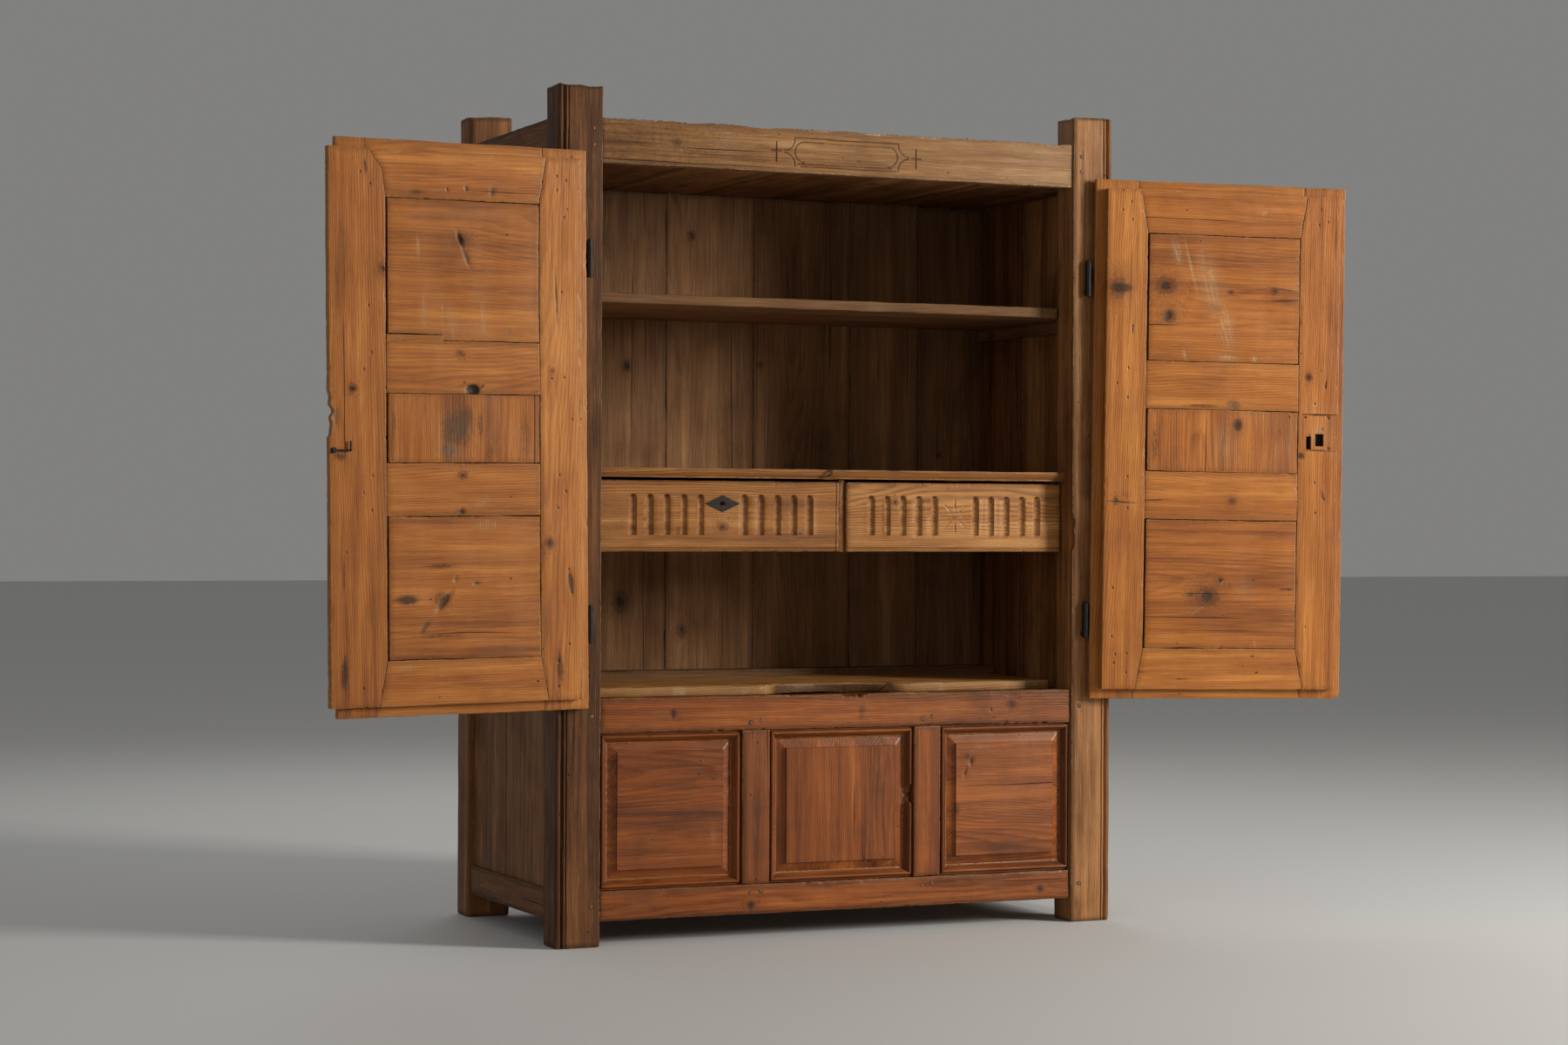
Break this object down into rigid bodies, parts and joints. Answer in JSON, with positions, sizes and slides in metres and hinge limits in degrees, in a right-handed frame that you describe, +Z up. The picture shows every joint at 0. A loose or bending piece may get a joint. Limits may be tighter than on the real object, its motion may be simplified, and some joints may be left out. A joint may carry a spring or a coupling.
{
  "type": "trastero cabinet",
  "caption": "Cupboard with hinged doors, shelves and hanging drawers over a panelled chest with a lift-out lid, on through posts.",
  "frame": {"origin": "on the floor, under the middle of the whole as pictured, with both doors standing open", "axes": "+X to the right as seen from the front, +Y from the front to the back, +Z up"},
  "size_m": [2.378, 0.8045, 1.8],
  "materials": {
    "post_wood": "old pine, darkened and weathered",
    "front_wood": "old pine, red-brown, waxed",
    "door_wood": "old pine, honey-brown, worn",
    "drawer_wood": "old pine, brown, worn",
    "interior_wood": "old pine, grey-brown, dry",
    "iron": "wrought iron, blackened"
  },
  "bodies": {
    "case": {"back_boards": "interior_wood", "chest_bottom_rail": "front_wood", "chest_floor_boards": "interior_wood", "chest_mouldings": "front_wood", "chest_muntins": "front_wood", "chest_top_rail": "front_wood", "door_pintles": "iron", "drawer_hangers": "interior_wood", "drawer_shelf": "interior_wood", "frame_pegs": "post_wood", "front_left_post": "post_wood", "front_right_post": "post_wood", "left_chest_panel": "front_wood", "lid_ledges": "interior_wood", "middle_chest_panel": "front_wood", "rear_left_post": "post_wood", "rear_lid_board": "interior_wood", "rear_rails": "post_wood", "rear_right_post": "post_wood", "right_chest_panel": "front_wood", "roof_boards": "post_wood", "shelf_catch": "iron", "shelf_cleats": "interior_wood", "side_boards": "post_wood", "side_bottom_rails": "post_wood", "side_top_rails": "post_wood", "top_front_rail": "front_wood", "upper_shelf": "interior_wood"},
    "left_door": {"hook_pin": "iron", "left_door_bottom_panel": "door_wood", "left_door_bottom_rail": "door_wood", "left_door_hinge_stile": "door_wood", "left_door_hinge_straps": "iron", "left_door_meeting_stile": "door_wood", "left_door_middle_panel": "door_wood", "left_door_middle_rails": "door_wood", "left_door_mouldings": "door_wood", "left_door_top_panel": "door_wood", "left_door_top_rail": "door_wood"},
    "right_door": {"right_door_bottom_panel": "door_wood", "right_door_bottom_rail": "door_wood", "right_door_hinge_stile": "door_wood", "right_door_hinge_straps": "iron", "right_door_meeting_stile": "door_wood", "right_door_middle_panel": "door_wood", "right_door_middle_rails": "door_wood", "right_door_mouldings": "door_wood", "right_door_top_panel": "door_wood", "right_door_top_rail": "door_wood"},
    "left_door_hook": {"left_door_hook": "iron"},
    "left_drawer": {"drawer_lock": "iron", "left_drawer_back": "drawer_wood", "left_drawer_bottom": "drawer_wood", "left_drawer_front": "drawer_wood", "left_drawer_sides": "drawer_wood"},
    "right_drawer": {"right_drawer_back": "drawer_wood", "right_drawer_bottom": "drawer_wood", "right_drawer_front": "drawer_wood", "right_drawer_sides": "drawer_wood"},
    "chest_lid": {"chest_lid": "interior_wood"}
  },
  "joints": [
    {"name": "left_door_hinge", "type": "hinge", "parent": "case", "child": "left_door", "pos_m": [-0.5905, -0.26674, 1.08], "axis": [0.0053, 0, -1], "range_deg": [-173.8, 3]},
    {"name": "right_door_hinge", "type": "hinge", "parent": "case", "child": "right_door", "pos_m": [0.5905, -0.26674, 1.08], "axis": [0.0053, 0, 1], "range_deg": [-169.7, 5]},
    {"name": "hook_pivot", "type": "hinge", "parent": "left_door", "child": "left_door_hook", "pos_m": [-1.16545, -0.36303, 1.0279], "axis": [0.108, -0.9942, 0.0006], "range_deg": [0, 270]},
    {"name": "left_drawer_slide", "type": "slide", "parent": "case", "child": "left_drawer", "axis": [0, -1, 0], "range_m": [0, 0.35]},
    {"name": "right_drawer_slide", "type": "slide", "parent": "case", "child": "right_drawer", "axis": [0, -1, 0], "range_m": [0, 0.35]},
    {"name": "chest_lid_lift", "type": "slide", "parent": "case", "child": "chest_lid", "axis": [0, 0, 1], "range_m": [0, 0.25]}
  ]
}
